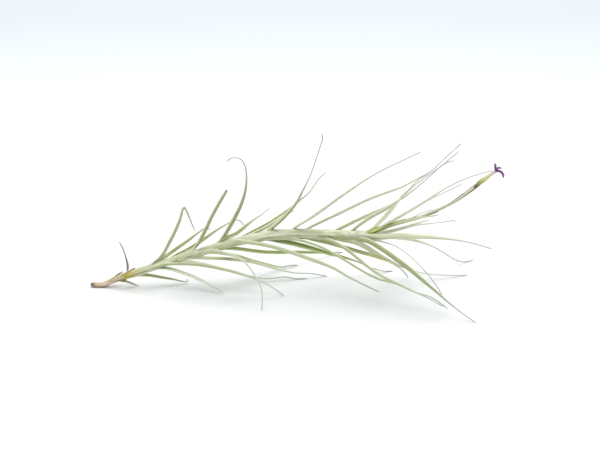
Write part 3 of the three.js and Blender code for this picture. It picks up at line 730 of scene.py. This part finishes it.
def show(piece, node):
    """Puts a finished piece on the part in the place of a CAD node"""
    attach(piece, BODY)
    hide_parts(node)
    return piece


SWEEP = sweep_tree()


def swept(name, strips, material, node, slot_name, **sizes):
    source = strip_object(name + "_paths", strips)
    piece = grown(name, source, SWEEP, material=material, **sizes)
    bpy.data.objects.remove(source)
    return show(piece, node)


def srgb(red, green, blue):
    """A colour of a screen, 0 to 255, as the light that it stands for"""
    channels = [value / 255 for value in (red, green, blue)]
    linear = [value / 12.92 if value <= 0.04045 else ((value + 0.055) / 1.055) ** 2.4 for value in channels]
    return (*linear, 1.0)


class Finish(Graph):
    """A material's nodes. It is painted in layers, and a colour is a socket or what a screen shows."""

    def __init__(self, name, roughness, **constants):
        self.material = bpy.data.materials.new(name)
        self.material.use_nodes = True
        super().__init__(self.material.node_tree)
        self.shader = self.tree.nodes["Principled BSDF"]
        self.shader.inputs["Roughness"].default_value = roughness
        for label, value in constants.items():
            self.shader.inputs[label.replace("_", " ")].default_value = value

    def amount(self, name):
        return self.add("ShaderNodeAttribute", attribute_name=name).outputs["Fac"]

    def from_middle(self):
        """0 along the middle of a strip and 1 along its margins"""
        return self.math("ABSOLUTE", self.amount("across"))

    def place(self):
        """The place in the frame, in metres"""
        return self.add("ShaderNodeTexCoord").outputs["Object"]

    def grain(self, across=1.0, along=1.0):
        """The grain, scaled across and along the strip: a small scale draws noise out"""
        grain = self.add("ShaderNodeAttribute", attribute_name="grain").outputs["Vector"]
        return self.vector("MULTIPLY", grain, (across, along, 1.0))

    def mix(self, share, low, high):
        made = self.add("ShaderNodeMix", {0: share}, data_type="RGBA")
        for socket, colour in ((made.inputs[6], low), (made.inputs[7], high)):
            self.feed(socket, srgb(*colour) if isinstance(colour, tuple) else colour)
        return made.outputs[2]

    def ramp(self, value, stops):
        made = self.add("ShaderNodeValToRGB", {0: value})
        elements = made.color_ramp.elements
        elements.remove(elements[0])
        for i, (at, colour) in enumerate(stops):
            stop = elements[0] if i == 0 else elements.new(at)
            stop.position = at
            stop.color = srgb(*colour)
        return made.outputs[0]

    def paint(self, share, colour):
        """Lays a colour over the ones before it"""
        self.colour = self.mix(share, self.colour, colour)

    def finish(self, height, depth):
        """The finished material, with bumps of up to depth, in metres"""
        bump = self.output("ShaderNodeBump", {"Height": height, "Distance": depth, "Strength": 1.0})
        self.feed(self.shader.inputs["Base Color"], self.colour)
        self.feed(self.shader.inputs["Normal"], bump)
        return self.material


# The colours of a blade's two faces: plain, dark, young and pale
BLADE_TONES = ((203, 209, 168), (128, 144, 10), (241, 243, 212), (240, 242, 234))
CHANNEL_TONES = ((140, 152, 74), (94, 112, 0), (206, 211, 160), (214, 219, 198))

# Where along the surface, in metres, a look begins and where it is full
YOUNG_BLADES = (0.1, 0.14)
YOUNG_SHEATHS = (0.1, 0.12)
SHADED_SHEATH_TOPS = (0.11, 0.098)
FIBROUS_SHEATHS = (0.019, 0.013)
FRESH_SCAPE = (0.136, 0.122)
SHADED_SCAPE = (0.122, 0.117)
BUFF_SCAPE = (0.13, 0.155)


class LeafSkin(Finish):
    """The skin of the live leaves, with a method for each layer of its colour"""

    def __init__(self):
        super().__init__("leaf skin", 0.62, Sheen_Weight=0.25, Sheen_Roughness=0.5, Specular_IOR_Level=0.3,
                         Subsurface_Scale=0.0008, Subsurface_Radius=(0.8, 1.0, 0.4))
        self.x = self.parts(self.place())["X"]
        self.tone = self.amount("tone")
        self.dark = self.fit(self.tone, 0.0, -1.0)
        self.sheath = self.amount("sheath")
        self.thin = self.amount("thin")
        self.outer = self.times(self.amount("along"), self.minus(1.0, self.sheath))
        self.streaks = self.noise(self.grain(3.0, 0.12), 1.6, 4.0)
        self.streaked = self.fit(self.streaks, 0.4, 0.68)
        self.bands = self.noise(self.grain(0.9, 0.07), 1.0, 2.0)
        specks = self.add("ShaderNodeTexVoronoi", {"Vector": self.grain(along=0.55), "Scale": 4.5})
        self.from_speck = specks.outputs["Distance"]

    def paint_blade(self):
        """Green by the leaf's tone, with a darker channel and pale streaks"""
        young = self.times(self.fit(self.x, *YOUNG_BLADES, to_high=0.45), self.fit(self.tone, -0.4, 0.3))
        faces = []
        for tones in (BLADE_TONES, CHANNEL_TONES):
            colour = self.mix(self.dark, tones[0], tones[1])
            colour = self.mix(young, colour, tones[2])
            faces.append(self.mix(self.fit(self.tone, 0.0, 1.0), colour, tones[3]))
        self.colour = self.mix(self.times(self.amount("face"), 0.7), *faces)
        self.paint(self.times(self.streaked, self.fit(self.dark, 0.0, 1.0, 0.35, 0.1)), (226, 228, 206))

    def paint_sheath(self):
        """Pale with green bands and whiter on young leaves, with painted shade that greys the tops of old
        ones
        """
        colour = self.mix(self.streaked, (190, 197, 142), (248, 249, 230))
        colour = self.mix(self.fit(self.bands, 0.44, 0.62, to_high=0.75), colour, (152, 164, 92))
        colour = self.mix(self.fit(self.x, *YOUNG_SHEATHS, to_high=0.55), colour, (248, 246, 222))
        # Painted shade: the upward faces of the old sheaths are dulled to grey, against the light from above
        upward = self.parts(self.add("ShaderNodeNewGeometry").outputs["Normal"])["Z"]
        painted_top_shade = self.times(self.fit(upward, 0.3, 0.95, to_high=0.55), self.fit(self.x, *SHADED_SHEATH_TOPS))
        colour = self.mix(painted_top_shade, colour, (190, 194, 178))
        self.paint(self.times(self.sheath, self.fit(self.dark, 0.0, 1.0, 0.9, 0.25)), colour)

    def paint_silver(self):
        """Silver towards a blade's end and on its thread, but little on a dark leaf"""
        silver = self.times(self.fit(self.outer, 0.4, 0.75, to_high=0.6), self.fit(self.thin, 0.3, 0.9, 0.3))
        self.paint(self.times(silver, self.fit(self.dark, 0.0, 0.8, 1.0, 0.2)), (214, 214, 210))

    def paint_edges(self):
        """Light margins, partly a painted highlight, and painted shade as a dark green line along those of a
        sheath, where sheaths overlap
        """
        from_middle = self.from_middle()
        # Pale margins, partly real and partly a painted highlight on the edges
        self.paint(self.times(self.fit(from_middle, 0.7, 0.92), 0.6), (238, 240, 214))
        # Painted shade: a dark green line along a sheath's margins, where the next sheath overlaps it
        painted_seam_shade = self.times(self.fit(from_middle, 0.93, 0.985), self.fit(self.sheath, 0.82, 0.97))
        self.paint(self.times(painted_seam_shade, self.fit(self.bands, 0.4, 0.55, 0.3, 0.75)), (122, 132, 54))

    def paint_fibrous_sheaths(self):
        """The oldest sheaths are fibrous and yellow brown"""
        colour = self.mix(self.streaked, (168, 150, 56), (226, 212, 122))
        self.paint(self.times(self.fit(self.x, *FIBROUS_SHEATHS), self.fit(self.sheath, 0.0, 0.5)), colour)

    def paint_specks(self):
        """Light specks where scales are dense, fainter on a dark leaf"""
        dense = self.fit(self.noise(self.grain(), 0.35, 2.0), 0.3, 0.6, 0.15, 0.5)
        specks = self.times(self.fit(self.from_speck, 0.32, 0.12), dense)
        self.paint(self.times(specks, self.fit(self.tone, -0.7, 0.2, 0.25, 1.0)), (228, 232, 218))

    def paint_dry_parts(self):
        """The golden patch, the withered end, which no light comes through, and the burnt tip"""
        self.paint(self.times(self.amount("dry"), 0.85), (248, 238, 168))
        withered = self.times(self.fit(self.outer, 0.66, 0.92), self.fit(self.thin, 0.4, 0.9))
        self.paint(self.times(withered, 0.85), (195, 194, 193))
        self.paint(self.times(self.fit(self.outer, 0.96, 0.99), 0.5), (118, 108, 106))
        self.feed(self.shader.inputs["Subsurface Weight"], self.fit(withered, 0.0, 1.0, 0.35, 0.0))


def leaf_finish():
    """Grey-green skin: pale sheaths, a darker channel, light margins that are partly a painted highlight,
    silver ends and burnt tips
    """
    skin = LeafSkin()
    skin.paint_blade()
    skin.paint_sheath()
    skin.paint_silver()
    skin.paint_edges()
    skin.paint_fibrous_sheaths()
    skin.paint_specks()
    skin.paint_dry_parts()
    return skin.finish(skin.plus(skin.times(skin.from_speck, -0.6), skin.streaks), depth=0.00006)


def scale_finish():
    """Silvery scales that drink the air's water, greener on a dark leaf"""
    scale = Finish("silvery scales", 0.45, Sheen_Weight=0.4, Specular_IOR_Level=0.4)
    clouds = scale.noise(scale.grain(), 1.2, 2.0)
    scale.colour = scale.mix(clouds, (206, 212, 184), (236, 238, 228))
    scale.paint(scale.fit(scale.amount("tone"), 0.0, -1.0, to_high=0.6), (160, 178, 110))
    return scale.finish(clouds, depth=0.00002)


# The bark's colours from the broken tip, at 0, to the first sheaths, at 1
BARK_COLOURS = (
    (0.0, (104, 94, 84)), (0.06, (140, 122, 104)), (0.13, (214, 190, 160)), (0.4, (234, 212, 186)),
    (0.6, (222, 206, 180)), (0.8, (208, 196, 156)), (1.0, (190, 180, 112)),
)


def bark_finish():
    """The bare old stem: dark at its broken tip, then tan and wrinkled, then olive"""
    bark = Finish("old stem bark", 0.8, Sheen_Weight=0.1, Specular_IOR_Level=0.2)
    wrinkles = bark.noise(bark.grain(1.6, 0.45), 1.4, 5.0)
    fibres = bark.noise(bark.grain(4.0, 0.3), 2.0, 3.0)
    uneven = bark.times(bark.minus(wrinkles, 0.5), 0.14)
    bark.colour = bark.ramp(bark.plus(bark.amount("along"), uneven), BARK_COLOURS)
    # Painted shade: the faces that turn down towards the surface are darker, reddish brown
    upward = bark.parts(bark.add("ShaderNodeTexCoord").outputs["Normal"])["Z"]
    bark.paint(bark.times(bark.fit(upward, 0.1, -0.5), 0.6), (150, 98, 76))
    bark.paint(bark.fit(fibres, 0.5, 0.75, to_high=0.55), (118, 98, 80))
    return bark.finish(bark.plus(wrinkles, fibres), depth=0.0003)


def withered_finish():
    """Dead leaves, papery grey and brown with long fibres, and buff husks"""
    dead = Finish("withered leaf", 0.75, Sheen_Weight=0.15, Specular_IOR_Level=0.2)
    fibres = dead.noise(dead.grain(5.0, 0.25), 1.5, 4.0)
    tone = dead.amount("tone")
    dead.colour = dead.mix(dead.fit(tone, -0.7, 0.5), (126, 108, 100), (190, 190, 164))
    dead.paint(dead.fit(fibres, 0.4, 0.7, to_high=0.6), (196, 182, 168))
    dead.paint(dead.fit(dead.amount("along"), 0.5, 0.9, to_high=0.7), (150, 146, 144))
    dead.paint(dead.fit(tone, 0.7, 1.0), dead.mix(fibres, (186, 164, 120), (232, 216, 184)))
    return dead.finish(fibres, depth=0.00015)


def scape_finish():
    """The scape and its bracts: olive with pale lines, then buff, with brown margins and dried tips"""
    skin = Finish("scape skin", 0.6, Sheen_Weight=0.15, Specular_IOR_Level=0.3)
    streaks = skin.noise(skin.grain(4.0, 0.22), 1.6, 4.0)
    x = skin.parts(skin.place())["X"]
    skin.colour = skin.mix(skin.fit(streaks, 0.35, 0.7), (176, 178, 124), (220, 220, 184))
    fresh = skin.mix(streaks, (196, 204, 108), (230, 234, 160))
    # Painted shade: the scape's foot, down among the leaves, is dark olive
    fresh = skin.mix(skin.fit(x, *SHADED_SCAPE), fresh, (124, 134, 58))
    skin.paint(skin.fit(x, *FRESH_SCAPE), fresh)
    skin.paint(skin.times(skin.fit(x, *BUFF_SCAPE), 0.8), (218, 214, 194))
    margin = skin.times(skin.fit(skin.from_middle(), 0.88, 1.0), skin.amount("tone"))
    skin.paint(margin, (134, 124, 100))
    dried = skin.times(skin.amount("dry"), skin.fit(streaks, 0.3, 0.5, 0.6, 1.0))
    skin.paint(dried, (96, 72, 58))
    return skin.finish(streaks, depth=0.00008)


def flower_bract_finish():
    """The flower's bract: yellow green, with a brown foot and a cream tip"""
    skin = Finish("flower bract skin", 0.5, Sheen_Weight=0.1, Specular_IOR_Level=0.35, Subsurface_Weight=0.08,
                  Subsurface_Scale=0.001)
    veins = skin.noise(skin.grain(5.0, 0.2), 1.6, 3.0)
    along = skin.amount("along")
    skin.colour = skin.mix(skin.fit(along, 0.15, 0.6), (158, 156, 84), (222, 224, 152))
    skin.paint(skin.fit(along, 0.55, 0.9), (244, 230, 214))
    foot = skin.times(skin.fit(along, 0.3, 0.12), skin.fit(veins, 0.35, 0.5, 0.5, 1.0))
    skin.paint(foot, (104, 90, 66))
    skin.paint(skin.fit(veins, 0.5, 0.75, to_high=0.4), (150, 150, 70))
    return skin.finish(veins, depth=0.00006)


def petal_finish():
    """Violet petals, darkest in the throat, with fine long veins and paler edges"""
    petal = Finish("petal skin", 0.5, Sheen_Weight=0.3, Sheen_Roughness=0.4, Subsurface_Weight=0.15,
                   Subsurface_Scale=0.0008)
    veins = petal.noise(petal.grain(7.0, 0.35), 1.8, 3.0)
    petal.colour = petal.mix(petal.fit(veins, 0.35, 0.7), (122, 68, 138), (172, 122, 178))
    throat = petal.fit(petal.amount("along"), 0.84, 0.6)
    petal.paint(throat, (94, 36, 100))
    edge = petal.fit(petal.from_middle(), 0.75, 1.0, to_high=0.35)
    petal.paint(edge, (196, 156, 198))
    return petal.finish(veins, depth=0.00005)


def floor_finish():
    """A sheet of matt white paper, with painted shade that greys it towards the back, where the light falls
    off
    """
    paper = Finish("white paper", 0.95, Specular_IOR_Level=0.0)
    place = paper.place()
    fibres = paper.noise(place, 900.0, 2.0)
    paper.colour = paper.mix(fibres, (226, 227, 227), (229, 230, 230))
    # Painted shade: the paper greys towards the back, standing in for the light's falloff
    painted_falloff_shade = paper.fit(paper.parts(place)["Y"], 0.12, 0.25)
    paper.paint(painted_falloff_shade, (204, 209, 213))
    return paper.finish(fibres, depth=0.00001)


# How many places and stations a stem has
CORE_STEPS = 110
BARK_STEPS = 90
SCAPE_STEPS = 80


def make_leaves():
    skin = leaf_finish()
    core = round_strip(stem, CORE, core_radius, CORE_STEPS, sheath=1)
    swept("stem_core", [core], skin, "leafy_stem", "leaf", sides=18, stations=CORE_STEPS, ridge_count=9.0,
          ridge_height=0.00006)
    blades = swept("leaf_blades", [leaf_strip(leaf) for leaf in LEAVES], skin, "leafy_stem", "leaf",
                   sides=14, stations=84)
    scales = grown("silvery_scales", blades, scatter_tree(), material=scale_finish())
    show(scales, "leafy_stem")


def make_old_stem():
    stump = round_strip(stem, OLD_STEM, bark_radius, BARK_STEPS, flatness=OLD_STEM_FLATNESS)
    swept("old_stem_bark", [stump], bark_finish(), "old_stem", "withered_tissue", sides=28,
          stations=BARK_STEPS, ridge_count=7.0, ridge_height=0.00006, roughness_height=0.0007,
          grain_scale=0.9)
    dead = withered_finish()
    swept("withered_leaves", [leaf_strip(leaf) for leaf in WITHERED], dead, "old_stem", "withered_tissue",
          sides=12, stations=60, roughness_height=0.0002, grain_scale=1.5)
    husks = [clasping_strip(stem, husk, HUSK_THICKNESS) for husk in HUSKS]
    swept("old_sheath_husks", husks, dead, "old_stem", "withered_tissue", sides=20, stations=40,
          roughness_height=0.0002, grain_scale=1.2)


def make_scape():
    skin = scape_finish()
    core = round_strip(stalk, SCAPE, lambda x: SCAPE_RADIUS, SCAPE_STEPS)
    swept("scape_stalk", [core], skin, "scape", "scape_green", sides=14, stations=SCAPE_STEPS,
          ridge_count=6.0, ridge_height=0.00003)
    bracts = [clasping_strip(stalk, bract, BRACT_THICKNESS) for bract in SCAPE_BRACTS]
    swept("scape_sheaths", bracts, skin, "scape", "scape_green", sides=20, stations=44)


def make_flower():
    skin = flower_bract_finish()
    bract = clasping_strip(stalk, FLOWER_BRACT, FLOWER_BRACT_THICKNESS)
    swept("flower_bract", [bract], skin, "floral_bract", "floral_bract_green", sides=24, stations=48)
    sepals = [clasping_strip(stalk, sepal, SEPAL_THICKNESS) for sepal in SEPALS]
    swept("flower_sepals", sepals, skin, "floral_bract", "floral_bract_green", sides=16, stations=40)
    swept("flower_petals", [petal_strip(limb) for limb in PETALS], petal_finish(), "petals", "petal_purple",
          sides=16, stations=48)


# In metres: the picture is FRAME_WIDTH wide at the plant and its middle is at AIM
FRAME_WIDTH = 0.264
AIM = seen(91.96, 27.28, 0) * MM
CAMERA_DISTANCE = 4.0
FARTHEST_SEEN = 60
FLOOR_REACH = 6.0
SOFTBOX_SIZE = 1.05
SOFTBOX_PLACE = (0.1, 0.16, 0.7)
SOFTBOX_WATTS = 9.4
SENSOR_WIDTH_IN_MM = 36.0
SKY_STRENGTH = 0.38
SKY_COLOUR = (0.93, 0.97, 1.0, 1.0)


def make_floor():
    mesh = bpy.data.meshes.new("white_floor")
    corners = [(x * FLOOR_REACH, y * FLOOR_REACH, 0) for x, y in ((-1, -1), (1, -1), (1, 1), (-1, 1))]
    mesh.from_pydata(corners, [], [(0, 1, 2, 3)])
    mesh.materials.append(floor_finish())
    floor = new_object("white_floor", mesh)


def make_camera():
    data = bpy.data.cameras.new("camera")
    data.sensor_width = SENSOR_WIDTH_IN_MM
    data.lens = SENSOR_WIDTH_IN_MM * CAMERA_DISTANCE / FRAME_WIDTH
    data.clip_end = FARTHEST_SEEN
    camera = new_object("camera", data)
    camera.location = AIM - VIEW * CAMERA_DISTANCE
    camera.rotation_euler = (math.pi / 2 - LOOK_DOWN, 0, 0)
    bpy.context.scene.camera = camera


def make_light():
    data = bpy.data.lights.new("softbox", "AREA")
    data.shape = "SQUARE"
    data.size = SOFTBOX_SIZE
    data.energy = SOFTBOX_WATTS
    new_object("softbox", data).location = SOFTBOX_PLACE
    world = bpy.data.worlds.new("white room")
    world.use_nodes = True
    sky = world.node_tree.nodes["Background"].inputs
    sky["Color"].default_value = SKY_COLOUR
    sky["Strength"].default_value = SKY_STRENGTH
    bpy.context.scene.world = world
    bpy.context.scene.view_settings.view_transform = "Standard"


make_camera()
make_light()
make_floor()
make_leaves()
make_old_stem()
make_scape()
make_flower()
